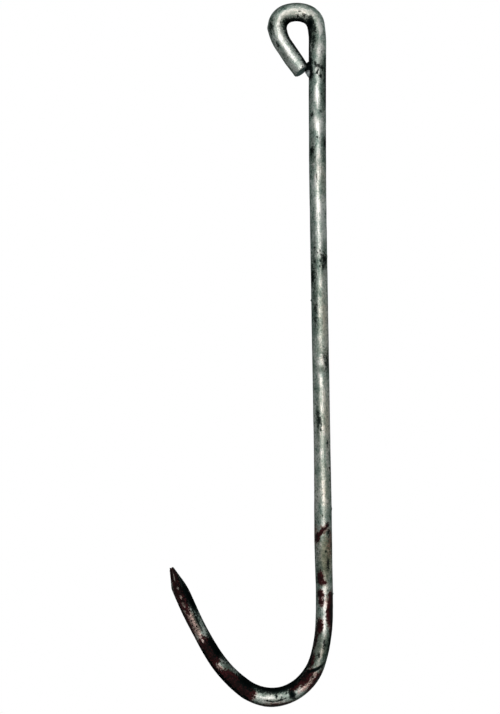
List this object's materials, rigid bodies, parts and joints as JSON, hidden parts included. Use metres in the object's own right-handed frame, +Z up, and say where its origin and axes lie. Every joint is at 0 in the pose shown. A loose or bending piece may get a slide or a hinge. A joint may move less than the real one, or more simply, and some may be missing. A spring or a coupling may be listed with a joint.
{
  "type": "meat hook",
  "caption": "Long meat hook of round steel bar, with a closed eye at the top to hang by, a straight shank and an open hook that is drawn out to a ground point.",
  "frame": {"origin": "the seat at the top of the inside of the eye, at the middle of the bar's thickness, where the hook bears on what carries it", "axes": "+Z up, as the hook hangs. The hook lies in the XZ plane, with the shank on the +X side of the eye and the point on the -X side. +Y goes through the eye."},
  "size_m": [0.0975, 0.01, 0.4171],
  "materials": {
    "bar_steel": "worn zinc-grey steel, satin, with grime and dried stains",
    "weld_metal": "dull weld metal with burnt scale"
  },
  "bodies": {
    "root": {"hook_bar": "bar_steel", "eye_weld": "weld_metal"}
  },
  "joints": []
}
